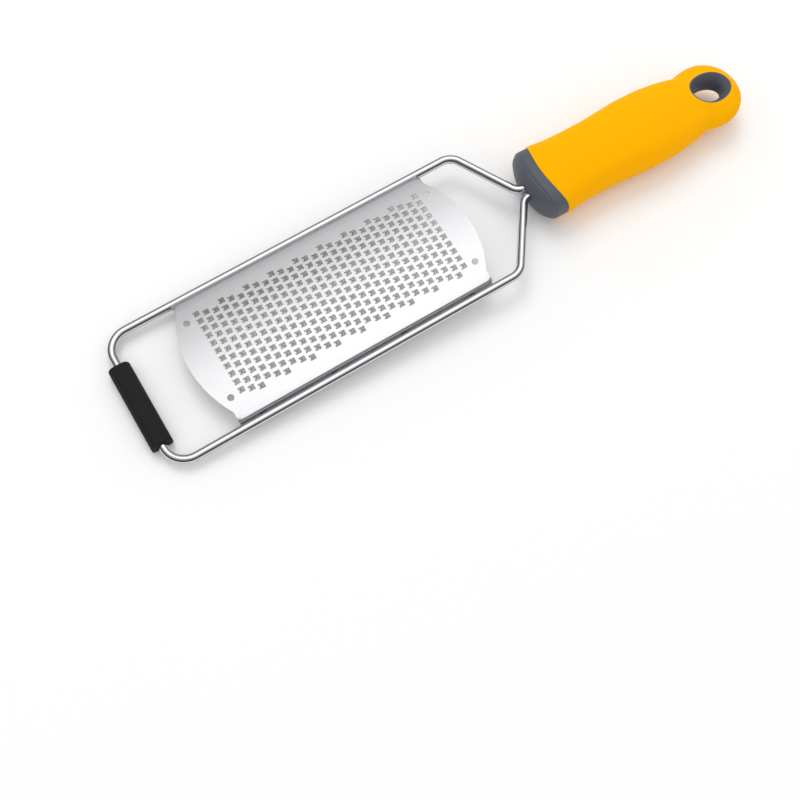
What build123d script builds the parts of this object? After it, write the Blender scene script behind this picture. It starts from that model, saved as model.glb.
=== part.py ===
from build123d import *
import os
from math import asin, atan2, copysign, cos, degrees, pi, radians, sin, sqrt

# Hand grater with a wire frame: a crowned, toothed sheet carried between two rails of bent rod,
# a rubber sleeve on the front bar and a two-shot moulded handle.
# Millimetres. +X runs from the front bar to the handle's tail, +Z is up. The tool lies on a table,
# on its sleeve and on the belly of its handle, so the rod frame leans up towards the handle. The
# frame and blade are drawn in the plane of the rods' axes, and the handle about its own axis.

os.makedirs("parts", exist_ok=True)

# Rod frame
ROD_DIAMETER = 4.0
RAIL_SPACING = 65.0            # between the axes of the two rails
FRAME_LENGTH = 170.0           # front bar's axis to the middle of the two shoulders
SHOULDER_SKEW = 5.4            # the far shoulder is bent this much farther out than the near one
NECK_LENGTH = 18.7             # middle of the shoulders to where the two rods come together
TANG_GAP = 0.6                 # between the two tangs, side by side
TANG_OFFSET = 0.7              # the pair of tangs lies this much towards the near rail
TANG_END_WALL = 31.2           # core plastic between the tangs' hidden ends and the hang hole
CORNER_BEND_RADIUS = 9.75      # rod axis, at the front bar's ends
SHOULDER_BEND_RADIUS = 8.0
NECK_BEND_RADIUS = 5.5
BEND_BAND_ANGLE = 30.0         # each bend is a run of straight-sided bands of about this turn

# Grater blade
BLADE_FRONT_GAP = 31.3         # front bar's axis to the blade's front ears
BLADE_REAR_GAP = 15.9          # the blade's rear ears to the middle of the shoulders
SHEET_THICKNESS = 0.5
CROWN_RADIUS = 200.0
CROWN_HEIGHT = 5.2             # top of the crown above the rods' axes
EDGE_ROLL_RADIUS = 2.4         # outside of the rolled long edges
FLANGE_DEPTH = 1.5             # how far the flanges reach below the rods' axes
END_BULGE = 6.7                # how far the rounded ends stand out past the ears
EAR_WIDTH = 4.9                # straight stretch at each corner of the blade
EAR_CORNER_RADIUS = 1.5
HOLE_PITCH = 4.0               # the same along and across the blade
HOLE_LENGTH = 2.7
HOLE_WIDTH = 2.4
HOLE_END_MARGIN = 7.2          # at least this from the ears to the middle of a hole
HOLE_SIDE_MARGIN = 8.8         # at least this from the flanges to the middle of a hole
STAGGER_STEPS = 3              # each column is offset by a third of the pitch, and each third starts again
TOOTH_WIDTH = 1.2              # at the root
TOOTH_REACH = 1.2              # over the hole, from its front edge
TOOTH_RISE = 0.65              # tip above the sheet
TOOTH_ROOT_INSET = 0.08        # the root stands this far inside the sheet's two faces
CORNER_HOLE_DIAMETER = 3.0
CORNER_HOLE_END_INSET = 2.0    # middle of a round hole, in from the ears
CORNER_HOLE_SIDE_INSET = 10.85

# Weld nuggets between the flanges and the rails
WELD_GAP = 0.25
WELD_LENGTH = 3.0
WELD_HEIGHT = 1.0
WELDS_PER_RAIL = 4
WELD_INSET = 10.4              # middle of the end welds, in from the blade's ears

# Rubber sleeve on the front bar
SLEEVE_LENGTH = 40.0
SLEEVE_WIDTH = 9.6
SLEEVE_RISE = 3.6              # top of the sleeve above the bar's axis
SLEEVE_DROP = 3.4              # flat underside below the bar's axis
SLEEVE_TOP_RADIUS = 3.6
SLEEVE_FOOT_RADIUS = 1.2
SLEEVE_OFFSET = 1.5            # the sleeve sits this much towards the near rail
SLEEVE_CLEARANCE = 0.05

# Handle
FACE_GAP = 2.5                 # from where the rods come together to the handle's foremost point
HANDLE_LENGTH = 118.5
HANDLE_WIDTH = 36.2            # at the widest, over the belly
HANDLE_THICKNESS = 21.6
FACE_PLAN_RADIUS = 32.0        # front face, seen from above
FACE_SIDE_RADIUS = 18.2        # front face, seen from the side
SEAM_PLACE = 7.5               # front edge of the grip at the top, from the handle's foremost point
SEAM_BOW = 4.6                 # how far that edge runs back at the sides
GRIP_STEP = 0.45               # how far the grip stands proud of the bolster
HEAD_DIAMETER = 32.8
HEAD_THICKNESS = 14.0
HEAD_NECK_ANGLE = -30.0        # where the body meets the round head, from the head's widest place
SQUARENESS = 2.4               # exponent of the handle's rounded sections: 2 is an ellipse
SECTION_FACETS = 16
# The body in front of the head: shares of the handle's length, its half width and half thickness
BODY_SHARES = (
    (0.000, 0.985, 0.930),
    (0.104, 0.988, 0.945),
    (0.192, 0.930, 0.960),
    (0.301, 0.918, 0.985),
    (0.420, 0.955, 1.000),
    (0.538, 1.000, 1.000),
    (0.677, 0.955, 0.870),
)
HEAD_ANGLES = (HEAD_NECK_ANGLE, 0.0, 28.0, 55.0, 78.0)

# Hidden body of the core, a straight bar round the tangs
CORE_WIDTH = 20.0
CORE_THICKNESS = 11.6
TANG_CLEARANCE = 0.05

# Hang hole: an oval throat that flares to both faces of the head, in a lining of the core's plastic
THROAT_LENGTH = 14.8
THROAT_WIDTH = 10.0
MOUTH_LENGTH = 20.8
MOUTH_WIDTH = 15.2
LINING_EDGE = 0.7              # width of the lining's rim at the surface

CUT_OVERRUN = 5.0              # how far every cutting body runs past what it cuts

# Worked out from the values above
ROD_RADIUS = ROD_DIAMETER / 2
RAIL_Y = RAIL_SPACING / 2
TANG_Y = (ROD_DIAMETER + TANG_GAP) / 2
NECK_X = FRAME_LENGTH + NECK_LENGTH
FLANGE_Y = RAIL_Y - ROD_RADIUS - WELD_GAP
BLADE_LENGTH = FRAME_LENGTH - BLADE_FRONT_GAP - BLADE_REAR_GAP
BLADE_CENTRE = BLADE_FRONT_GAP + BLADE_LENGTH / 2
STAGGER = HOLE_PITCH / STAGGER_STEPS
COLUMN_SPAN = 2 * (FLANGE_Y - HOLE_SIDE_MARGIN) - (STAGGER_STEPS - 1) * STAGGER
HOLE_COLUMNS = 1 + int((BLADE_LENGTH - 2 * HOLE_END_MARGIN) / HOLE_PITCH)
HOLES_PER_COLUMN = 1 + int(COLUMN_SPAN / HOLE_PITCH)
WELD_SPACING = (BLADE_LENGTH - 2 * WELD_INSET) / (WELDS_PER_RAIL - 1)
FACE_X = NECK_X + FACE_GAP
HEAD_RADIUS = HEAD_DIAMETER / 2
HEAD_X = FACE_X + HANDLE_LENGTH - HEAD_RADIUS
SEAM_X = FACE_X + SEAM_PLACE
TANG_LENGTH = HEAD_X - THROAT_LENGTH / 2 - TANG_END_WALL - NECK_X
AXIS_Z = HANDLE_THICKNESS / 2
LEAN = degrees(atan2(AXIS_Z - SLEEVE_DROP, NECK_X))


def leaned(shape):
    """Moves a piece drawn in the plane of the rods' axes to where it lies on the table."""
    return Pos(Z=SLEEVE_DROP) * Rot(Y=-LEAN) * shape


def rod_path(tang_length):
    """The rod's axis, from the end of one tang round the frame to the end of the other."""
    tang_end = NECK_X + tang_length
    far_tang = TANG_Y - TANG_OFFSET
    near_tang = -TANG_Y - TANG_OFFSET
    far_shoulder = FRAME_LENGTH + SHOULDER_SKEW / 2
    near_shoulder = FRAME_LENGTH - SHOULDER_SKEW / 2
    corners = (
        (tang_end, far_tang),
        (NECK_X, far_tang),
        (far_shoulder, RAIL_Y),
        (0, RAIL_Y),
        (0, -RAIL_Y),
        (near_shoulder, -RAIL_Y),
        (NECK_X, near_tang),
        (tang_end, near_tang),
    )
    radii = (
        NECK_BEND_RADIUS,
        SHOULDER_BEND_RADIUS,
        CORNER_BEND_RADIUS,
        CORNER_BEND_RADIUS,
        SHOULDER_BEND_RADIUS,
        NECK_BEND_RADIUS,
    )
    return FilletPolyline(*corners, radius=radii)


def rod(radius, tang_length):
    """A round rod along the frame's path: straight runs, and bends made of ruled bands."""
    runs = []
    for edge in rod_path(tang_length).edges():
        turn = 0
        if edge.geom_type == GeomType.CIRCLE:
            turn = degrees(edge.length / edge.radius)
        bands = max(1, round(turn / BEND_BAND_ANGLE))
        rings = []
        for number in range(bands + 1):
            share = number / bands
            ring = Plane(origin=edge @ share, x_dir=(0, 0, 1), z_dir=edge % share)
            rings.append(ring * Circle(radius))
        if turn:
            runs.append(loft(rings, ruled=True))
        else:
            runs.append(extrude(rings[0], edge.length))
    return Part() + runs


def crown_z(across):
    """Height of the sheet's top surface above the rods' axes, at a distance from the middle."""
    return CROWN_HEIGHT - CROWN_RADIUS + sqrt(CROWN_RADIUS**2 - across**2)


def arch(depth, foot):
    """Outline across the blade at a depth in the sheet: a crowned top, rolled edges, upright sides."""
    roll = EDGE_ROLL_RADIUS - depth
    crown = CROWN_RADIUS - depth
    half_width = FLANGE_Y - depth
    slope = asin((half_width - roll) / (crown - roll))
    end_y = crown * sin(slope)
    end_z = CROWN_HEIGHT - CROWN_RADIUS + crown * cos(slope)
    side_z = end_z - roll * cos(slope)
    rising = (cos(slope), sin(slope))
    falling = (cos(slope), -sin(slope))
    left_end = (-end_y, end_z)
    right_end = (end_y, end_z)
    outline = [
        Spline(left_end, (0, CROWN_HEIGHT - depth), right_end, tangents=(rising, falling)),
        TangentArc(right_end, (half_width, side_z), tangent=falling),
        Line((half_width, side_z), (half_width, foot)),
        Line((half_width, foot), (-half_width, foot)),
        Line((-half_width, foot), (-half_width, side_z)),
        TangentArc((-half_width, side_z), left_end, tangent=(0, 1)),
    ]
    return make_face(outline)


def blade_blank():
    """The bent sheet before its ends are trimmed."""
    outside = arch(0, -FLANGE_DEPTH)
    inside = arch(SHEET_THICKNESS, -FLANGE_DEPTH - CUT_OVERRUN)
    length = BLADE_LENGTH + 2 * (END_BULGE + CUT_OVERRUN)
    start = Plane(origin=(BLADE_CENTRE - length / 2, 0, 0), x_dir=(0, 1, 0), z_dir=(1, 0, 0))
    return extrude(start * (outside - inside), length)


def blade_plan():
    """The blade seen from above: straight flanged sides, ears at the corners, rounded ends."""
    ear_x = BLADE_LENGTH / 2
    tip_x = ear_x + END_BULGE
    side_y = FLANGE_Y + CUT_OVERRUN
    ear_y = FLANGE_Y - EAR_WIDTH
    outline = [
        Line((-ear_x, side_y), (ear_x, side_y)),
        Line((ear_x, side_y), (ear_x, ear_y)),
        ThreePointArc((ear_x, ear_y), (tip_x, 0), (ear_x, -ear_y)),
        Line((ear_x, -ear_y), (ear_x, -side_y)),
        Line((ear_x, -side_y), (-ear_x, -side_y)),
        Line((-ear_x, -side_y), (-ear_x, -ear_y)),
        ThreePointArc((-ear_x, -ear_y), (-tip_x, 0), (-ear_x, ear_y)),
        Line((-ear_x, ear_y), (-ear_x, side_y)),
    ]
    face = make_face(outline)
    inner_corners = [v for v in face.vertices() if abs(v.Y) < FLANGE_Y]
    return Pos(X=BLADE_CENTRE) * fillet(inner_corners, EAR_CORNER_RADIUS)


def hole_places():
    """Middles of the square openings: straight columns, staggered in thirds of the pitch."""
    first_x = BLADE_CENTRE - (HOLE_COLUMNS - 1) * HOLE_PITCH / 2
    first_y = ((HOLES_PER_COLUMN - 1) * HOLE_PITCH + (STAGGER_STEPS - 1) * STAGGER) / 2
    for column in range(HOLE_COLUMNS):
        for hole in range(HOLES_PER_COLUMN):
            y = first_y - hole * HOLE_PITCH - (column % STAGGER_STEPS) * STAGGER
            yield first_x + column * HOLE_PITCH, y


def tooth(x, y):
    """One keeled, pointed tooth, rooted in its hole's front wall and aimed at the handle."""
    root = Polyline(
        (-TOOTH_WIDTH / 2, -TOOTH_ROOT_INSET),
        (TOOTH_WIDTH / 2, -TOOTH_ROOT_INSET),
        (0, TOOTH_ROOT_INSET - SHEET_THICKNESS),
        close=True,
    )
    wall = Plane(origin=(-TOOTH_ROOT_INSET, 0, 0), x_dir=(0, 1, 0), z_dir=(1, 0, 0))
    point = loft([wall * make_face(root), Vertex(TOOTH_REACH, 0, TOOTH_RISE)])
    slope = degrees(asin(y / CROWN_RADIUS))
    return Pos(x - HOLE_LENGTH / 2, y, crown_z(y)) * Rot(X=-slope) * point


def grater_blade():
    """The finished sheet: trimmed ends, staggered square holes with teeth, four round holes."""
    depth = CROWN_HEIGHT + CUT_OVERRUN
    blade = blade_blank() & extrude(blade_plan(), depth, both=True)
    openings = [Pos(x, y) * Rectangle(HOLE_LENGTH, HOLE_WIDTH) for x, y in hole_places()]
    for side_x in (-1, 1):
        for side_y in (-1, 1):
            x = BLADE_CENTRE + side_x * (BLADE_LENGTH / 2 - CORNER_HOLE_END_INSET)
            y = side_y * (FLANGE_Y - CORNER_HOLE_SIDE_INSET)
            openings.append(Pos(x, y) * Circle(CORNER_HOLE_DIAMETER / 2))
    blade = blade - [extrude(opening, depth) for opening in openings]
    return blade + [tooth(x, y) for x, y in hole_places()]


def blade_welds():
    """Nuggets that bridge the gap between each flange and the nearest line of the rail beside it."""
    nuggets = []
    for side in (-1, 1):
        for number in range(WELDS_PER_RAIL):
            offset = (number - (WELDS_PER_RAIL - 1) / 2) * WELD_SPACING
            at = Plane(origin=(BLADE_CENTRE + offset, side * FLANGE_Y, 0), z_dir=(0, side, 0))
            nuggets.append(extrude(at * Rectangle(WELD_LENGTH, WELD_HEIGHT), WELD_GAP))
    return nuggets


def foot_sleeve():
    """Rubber sleeve with a domed top and a flat underside, bored for the front bar."""
    start_y = SLEEVE_LENGTH / 2 - SLEEVE_OFFSET
    end = Plane(origin=(0, start_y, 0), x_dir=(1, 0, 0), z_dir=(0, -1, 0))
    height = SLEEVE_RISE + SLEEVE_DROP
    section = Pos(Y=(SLEEVE_RISE - SLEEVE_DROP) / 2) * Rectangle(SLEEVE_WIDTH, height)
    section = fillet(section.vertices().sort_by(Axis.Y)[:2], SLEEVE_FOOT_RADIUS)
    section = fillet(section.vertices().sort_by(Axis.Y)[-2:], SLEEVE_TOP_RADIUS)
    bore = Circle(ROD_RADIUS + SLEEVE_CLEARANCE)
    return extrude(end * (section - bore), SLEEVE_LENGTH)


def oval(half_width, half_height):
    """A squared-off oval in facets, flat at the top, the bottom and both sides."""
    corners = []
    flat = cos(pi / SECTION_FACETS) ** (2 / SQUARENESS)
    for number in range(SECTION_FACETS):
        angle = 2 * pi * (number + 1 / 2) / SECTION_FACETS
        across = copysign(abs(cos(angle)) ** (2 / SQUARENESS), cos(angle))
        up = copysign(abs(sin(angle)) ** (2 / SQUARENESS), sin(angle))
        corners.append((half_width * across / flat, half_height * up / flat))
    return make_face(Polyline(*corners, close=True))


def across_handle(x, half_width, half_thickness):
    """A section of the handle at a place along it."""
    plane = Plane(origin=(x, 0, 0), x_dir=(0, 1, 0), z_dir=(1, 0, 0))
    return plane * oval(half_width, half_thickness)


def body_sections(inset):
    """Sections of the grip's body, drawn in by an inset."""
    for along, width_share, thickness_share in BODY_SHARES:
        half_width = width_share * HANDLE_WIDTH / 2 - inset
        half_thickness = thickness_share * HANDLE_THICKNESS / 2 - inset
        yield across_handle(FACE_X + along * HANDLE_LENGTH, half_width, half_thickness)


def head_sections():
    """Sections through the round head, a thick disc with a rounded rim."""
    for angle in HEAD_ANGLES:
        back = sin(radians(angle))
        half_width = HEAD_RADIUS * cos(radians(angle))
        thinning = (1 - max(0, back) ** SQUARENESS) ** (1 / SQUARENESS)
        yield across_handle(HEAD_X + back * HEAD_RADIUS, half_width, thinning * HEAD_THICKNESS / 2)


def behind_seam():
    """Everything behind the grip's bowed front edge."""
    side_y = HANDLE_WIDTH / 2
    side_x = SEAM_X + SEAM_BOW
    far_x = FACE_X + HANDLE_LENGTH + CUT_OVERRUN
    outline = [
        ThreePointArc((side_x, -side_y), (SEAM_X, 0), (side_x, side_y)),
        Line((side_x, side_y), (far_x, side_y)),
        Line((far_x, side_y), (far_x, -side_y)),
        Line((far_x, -side_y), (side_x, -side_y)),
    ]
    return extrude(Pos(Z=-HANDLE_THICKNESS / 2) * make_face(outline), HANDLE_THICKNESS)


def hang_hole():
    """The oval hole's cutting body: narrow at the handle's axis, flared to both faces."""
    middle = Pos(HEAD_X) * oval(THROAT_LENGTH / 2, THROAT_WIDTH / 2)
    mouths = [
        Pos(HEAD_X, 0, side * HEAD_THICKNESS / 2) * oval(MOUTH_LENGTH / 2, MOUTH_WIDTH / 2)
        for side in (-1, 1)
    ]
    return loft([mouths[0], middle, mouths[1]], ruled=True)


def hang_lining(outside):
    """The block of core plastic that the hang hole is formed in, flush with the grip's surface."""
    block = oval(MOUTH_LENGTH / 2 + LINING_EDGE, MOUTH_WIDTH / 2 + LINING_EDGE)
    return extrude(Pos(HEAD_X, 0, -HEAD_THICKNESS / 2) * block, HEAD_THICKNESS) & outside


def core_bar():
    """The hidden straight bar between the bolster and the hang hole's lining."""
    start = Plane(origin=(SEAM_X, 0, 0), x_dir=(0, 1, 0), z_dir=(1, 0, 0))
    section = Rectangle(CORE_WIDTH, CORE_THICKNESS)
    return extrude(start * section, HEAD_X - THROAT_LENGTH / 2 - SEAM_X)


def bolster():
    """The bare front end of the core, with its domed face."""
    front = loft(list(body_sections(GRIP_STEP))[:3], ruled=True) - behind_seam()
    plan = Cylinder(FACE_PLAN_RADIUS, 2 * HANDLE_THICKNESS)
    side = Rot(X=90) * Cylinder(FACE_SIDE_RADIUS, 2 * HANDLE_WIDTH)
    front &= Pos(FACE_X + FACE_PLAN_RADIUS) * plan
    return front & Pos(FACE_X + FACE_SIDE_RADIUS) * side


outside = loft([*body_sections(0), *head_sections()], ruled=True)
tang_space = leaned(rod(ROD_RADIUS + TANG_CLEARANCE, TANG_LENGTH + TANG_CLEARANCE))
bar = core_bar()
lining = hang_lining(outside)
pieces = {
    "wire_frame": leaned(rod(ROD_RADIUS, TANG_LENGTH)),
    "grater_blade": leaned(grater_blade()),
    "blade_welds": leaned(Compound(blade_welds())),
    "foot_sleeve": Pos(Z=SLEEVE_DROP) * foot_sleeve(),
    "handle_core": Pos(Z=AXIS_Z) * (bolster() + bar + lining - hang_hole()) - tang_space,
    "handle_grip": Pos(Z=AXIS_Z) * ((outside & behind_seam()) - bar - lining),
}

whole = Compound(list(pieces.values())).bounding_box()
to_origin = Pos(-whole.center().X, -whole.center().Y, -whole.min.Z)
for node, piece in pieces.items():
    export_step(to_origin * piece, f"parts/{node}.step")
print("size", whole.size, "lean", LEAN, "front bar at", -whole.center().X, -whole.center().Y)
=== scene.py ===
from math import asin, atan2, ceil, copysign, cos, pi, radians, sin, sqrt

import bmesh
import bpy
from bpy.props import FloatProperty, FloatVectorProperty, IntProperty, PointerProperty
from mathutils import Matrix, Vector
from mathutils.geometry import delaunay_2d_cdt


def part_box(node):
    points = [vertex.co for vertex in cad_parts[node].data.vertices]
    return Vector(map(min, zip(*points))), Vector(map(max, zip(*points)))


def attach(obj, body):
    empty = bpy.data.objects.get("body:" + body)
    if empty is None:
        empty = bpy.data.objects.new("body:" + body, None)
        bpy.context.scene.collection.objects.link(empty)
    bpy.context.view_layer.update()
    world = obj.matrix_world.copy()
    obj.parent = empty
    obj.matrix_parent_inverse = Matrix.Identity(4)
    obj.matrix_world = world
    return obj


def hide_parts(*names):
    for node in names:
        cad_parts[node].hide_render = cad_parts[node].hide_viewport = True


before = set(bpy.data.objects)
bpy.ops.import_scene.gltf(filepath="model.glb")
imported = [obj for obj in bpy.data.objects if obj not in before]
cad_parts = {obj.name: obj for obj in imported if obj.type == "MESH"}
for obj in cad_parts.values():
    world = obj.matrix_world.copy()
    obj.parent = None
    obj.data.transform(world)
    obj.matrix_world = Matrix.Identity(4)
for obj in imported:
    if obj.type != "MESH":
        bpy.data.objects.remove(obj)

bl_info = {
    "name": "Wire-framed hand grater",
    "version": (1, 0, 0),
    "blender": (4, 5, 0),
    "location": "View3D > Sidebar > Grater",
    "description": "Builds a rasp grater's rod frame, toothed blade, foot sleeve and handle",
    "category": "Object",
}

MM = 0.001
# Edges that turn more than this are left crisp in the shading
SHARP_ANGLE = radians(35)
# Rounds of halving that place a point on a curved surface
HALVINGS = 30
# A section turned by half a step has a flat and not an edge outermost
HALF_STEP = 0.5

# The sleeve's box, which the front bar runs through and which lies on the table
SLEEVE_LOW, SLEEVE_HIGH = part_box("foot_sleeve")
BAR_X = (SLEEVE_LOW.x + SLEEVE_HIGH.x) / 2
TABLE_Z = SLEEVE_LOW.z


def length(label, description, millimetres):
    """A size that a user may change, kept in metres."""
    return FloatProperty(
        name=label, description=description, default=millimetres * MM, unit="LENGTH", precision=5
    )


def colour(label, description, code):
    """A colour that a user may change, given as an sRGB hex value."""
    return FloatVectorProperty(
        name=label, description=description, default=linear(code), subtype="COLOR", size=3
    )


def linear(code):
    """An sRGB hex value as linear red, green and blue."""
    parts = [int(code[place:place + 2], 16) / 255 for place in (1, 3, 5)]
    return tuple(c / 12.92 if c <= 0.04045 else ((c + 0.055) / 1.055) ** 2.4 for c in parts)


class GraterRodSettings(bpy.types.PropertyGroup):
    diameter: length("Rod diameter", "Diameter of the bent rod", 4.0)
    bar_height: length("Bar height", "Front bar's axis above the table", 3.4)
    rail_spacing: length("Rail spacing", "Distance between the axes of the two rails", 65.0)
    frame_length: length("Frame length", "Front bar to the middle of the shoulders", 170.0)
    shoulder_skew: length("Shoulder skew", "How much farther out the far shoulder is", 5.4)
    neck_length: length("Neck length", "Shoulders to where the rods come together", 18.7)
    tang_gap: length("Tang gap", "Gap between the two tangs, side by side", 0.6)
    tang_offset: length("Tang offset", "How far the tangs lie towards the near rail", 0.7)
    tang_length: length("Tang length", "Neck to the hidden ends of the tangs", 66.0)
    corner_radius: length("Corner bend", "Bend radius at the front bar's ends", 9.75)
    shoulder_radius: length("Shoulder bend", "Bend radius at the shoulders", 8.0)
    neck_radius: length("Neck bend", "Bend radius at the neck", 5.5)
    steel: colour("Rod colour", "Polished stainless steel", "#CDCDD0")


class GraterBladeSettings(bpy.types.PropertyGroup):
    length: length("Blade length", "Length along the flanges", 122.8)
    centre: length("Blade centre", "Middle of the blade from the front bar", 92.7)
    thickness: length("Sheet thickness", "Thickness of the sheet", 0.5)
    crown_radius: length("Crown radius", "Radius of the crowned top", 200.0)
    crown_height: length("Crown height", "Top of the crown above the rods' axes", 5.2)
    roll_radius: length("Edge roll", "Outside radius of the rolled long edges", 1.3)
    flange_y: length("Flange place", "Outer face of each flange from the middle", 30.25)
    flange_depth: length("Flange depth", "How far the flanges reach below the rods' axes", 1.5)
    bulge: length("End bulge", "How far the rounded ends stand out", 6.7)
    ear: length("Ear width", "Straight stretch at each corner", 4.9)
    ear_radius: length("Ear corner", "Radius inside each ear's corner", 1.5)
    pitch: length("Hole pitch", "Spacing of the openings both ways", 4.0)
    hole_length: length("Hole length", "Opening along the blade", 2.8)
    hole_width: length("Hole width", "Opening across the blade", 2.5)
    hole_radius: length("Hole corner", "Corner radius of each opening", 0.2)
    columns: IntProperty(name="Columns", description="Columns of openings", default=28)
    per_column: IntProperty(name="Openings", description="Openings in a column", default=11)
    stagger: IntProperty(name="Stagger", description="Columns till the stagger repeats", default=3)
    tooth_width: length("Tooth width", "Width of each raised tooth", 1.0)
    tooth_reach: length("Tooth reach", "How far a tooth reaches over its opening", 1.2)
    tooth_rise: length("Tooth rise", "Height of a tooth's tip above the sheet", 0.35)
    corner_hole: length("Corner hole", "Diameter of the four round holes", 3.0)
    corner_spacing_x: length("Corner hole spacing", "Round holes apart, along", 118.8)
    corner_spacing_y: length("Corner hole spread", "Round holes apart, across", 38.8)
    steel: colour("Sheet colour", "Satin stainless steel", "#C8C8CA")


class GraterWeldSettings(bpy.types.PropertyGroup):
    count: IntProperty(name="Welds", description="Welds along each rail", default=4)
    spacing: length("Weld spacing", "Distance between welds", 34.0)
    length: length("Weld length", "Length of one nugget", 3.0)
    height: length("Weld height", "Height of one nugget", 1.0)
    steel: colour("Weld colour", "Steel dulled by the weld's heat", "#8F8A84")


class GraterSleeveSettings(bpy.types.PropertyGroup):
    top_radius: length("Top radius", "Radius of the sleeve's upper corners", 3.4)
    foot_radius: length("Foot radius", "Radius of the sleeve's lower corners", 1.2)
    end_radius: length("End radius", "Rounding of the sleeve's ends", 0.7)
    rubber: colour("Sleeve colour", "Black rubber", "#0D0C0D")


class GraterHandleSettings(bpy.types.PropertyGroup):
    face_gap: length("Face gap", "Rods' neck to the handle's foremost point", 2.5)
    length: length("Handle length", "Foremost point to the tail", 118.5)
    width: length("Handle width", "Width over the belly", 36.2)
    thickness: length("Handle thickness", "Thickness over the belly", 21.6)
    grip_step: length("Grip step", "How far the grip stands proud of the bolster", 0.45)
    grip_edge: length("Grip edge", "Rounding of the grip's front edge", 0.35)
    face_plan_radius: length("Face radius, plan", "Front face seen from above", 32.0)
    face_side_radius: length("Face radius, side", "Front face seen from the side", 18.2)
    face_edge: length("Face edge", "Rounding of the front face's rim", 1.4)
    seam: length("Seam", "Grip's front edge from the handle's foremost point", 7.5)
    seam_bow: length("Seam bow", "How far that edge runs back at the sides", 4.6)
    head_diameter: length("Head diameter", "Diameter of the round head", 32.8)
    head_thickness: length("Head thickness", "Thickness of the round head", 14.0)
    throat_length: length("Throat length", "Hang hole's throat, along", 14.8)
    throat_width: length("Throat width", "Hang hole's throat, across", 10.0)
    mouth_length: length("Mouth length", "Hang hole's flared mouth, along", 20.8)
    mouth_width: length("Mouth width", "Hang hole's flared mouth, across", 15.2)
    lining_edge: length("Lining edge", "Width of the lining's rim", 0.7)
    grip: colour("Grip colour", "Yellow soft-touch elastomer", "#FFB300")
    core: colour("Core colour", "Dark grey polypropylene", "#565A62")


class GraterStageSettings(bpy.types.PropertyGroup):
    target_x: length("Aim, along", "Point of the rods' plane that the camera aims at", 92.466)
    target_y: length("Aim, across", "Point of the rods' plane that the camera aims at", -55.068)
    distance: length("Distance", "Camera to the point that it aims at", 428.74)
    azimuth: FloatProperty(
        name="Azimuth", description="Camera's heading from +Y towards +X",
        default=radians(31.537), subtype="ANGLE",
    )
    elevation: FloatProperty(
        name="Elevation", description="Camera's angle above the rods' plane",
        default=radians(70.021), subtype="ANGLE",
    )
    field: FloatProperty(
        name="Field of view", description="Camera's full angle of view",
        default=radians(42.08), subtype="ANGLE",
    )
    paper: colour("Floor colour", "White background paper", "#FAFAFA")


# Shared by the pieces


def neck_x():
    """Where the two rods come together, from the front bar."""
    rod = bpy.context.scene.grater_rod
    return rod.frame_length + rod.neck_length


def rod_plane():
    """From the plane of the rods' axes to the table. The tool lies on its sleeve and on the belly
    of its handle, so the plane leans up towards the handle."""
    scene = bpy.context.scene
    height = scene.grater_rod.bar_height
    lean = atan2(scene.grater_handle.thickness / 2 - height, neck_x())
    return Matrix.Translation((BAR_X, 0, TABLE_Z + height)) @ Matrix.Rotation(-lean, 4, "Y")


def handle_axis():
    """From the handle's own axis to the table, with the belly flat on it."""
    height = bpy.context.scene.grater_handle.thickness / 2
    return Matrix.Translation((BAR_X, 0, TABLE_Z + height))


def add_node(tree, kind, inputs=None, **settings):
    """Adds a node with its settings, its input values and its incoming links."""
    node = tree.nodes.new(kind)
    for name, value in settings.items():
        setattr(node, name, value)
    for name, value in (inputs or {}).items():
        if isinstance(value, bpy.types.NodeSocket):
            tree.links.new(value, node.inputs[name])
        else:
            node.inputs[name].default_value = value
    return node


def new_material(name):
    """An empty node material and its tree."""
    material = bpy.data.materials.new(name)
    material.use_nodes = True
    material.node_tree.nodes.clear()
    return material, material.node_tree


def grained_material(name, base, grain, relief, surface, tones=None, mottle=None, stretch=None):
    """A material with a fine grain in low relief. Its base colour may spread between two tones of
    itself, over the grain or over a broader mottle, and its roughness may follow the grain
    between two values. The grain may be stretched."""
    material, tree = new_material(name)
    place = add_node(tree, "ShaderNodeTexCoord").outputs["Object"]
    if stretch:
        stretched = add_node(tree, "ShaderNodeMapping", {"Vector": place, "Scale": stretch})
        place = stretched.outputs["Vector"]
    fine = add_node(tree, "ShaderNodeTexNoise", {"Vector": place, **grain}).outputs["Fac"]
    values = {"Base Color": (*base, 1), **surface}
    if tones:
        spread = fine
        if mottle:
            broad = add_node(tree, "ShaderNodeTexNoise", {"Vector": place, **mottle})
            spread = broad.outputs["Fac"]
        first, second = [(*[tone * part for part in base], 1) for tone in tones]
        tint = add_node(
            tree, "ShaderNodeMixRGB", {"Fac": spread, "Color1": first, "Color2": second}
        )
        values["Base Color"] = tint.outputs["Color"]
    if isinstance(surface["Roughness"], tuple):
        low, high = surface["Roughness"]
        rough = add_node(
            tree, "ShaderNodeMapRange", {"Value": fine, "To Min": low, "To Max": high}
        )
        values["Roughness"] = rough.outputs["Result"]
    strength, depth = relief
    bump = add_node(
        tree, "ShaderNodeBump", {"Height": fine, "Strength": strength, "Distance": depth}
    )
    shader = add_node(
        tree, "ShaderNodeBsdfPrincipled", {**values, "Normal": bump.outputs["Normal"]}
    )
    add_node(tree, "ShaderNodeOutputMaterial", {"Surface": shader.outputs["BSDF"]})
    return material


def full_turn(count, start=0):
    """Angles that divide a full turn evenly. The start is a share of one step."""
    return [2 * pi * (number + start) / count for number in range(count)]


def rounding(radius, steps):
    """How far the points of a rounded edge lie in from its side and back from its end."""
    turns = [pi / 2 * step / steps for step in range(steps + 1)]
    return [(radius * (1 - sin(turn)), radius * (1 - cos(turn))) for turn in turns]


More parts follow.
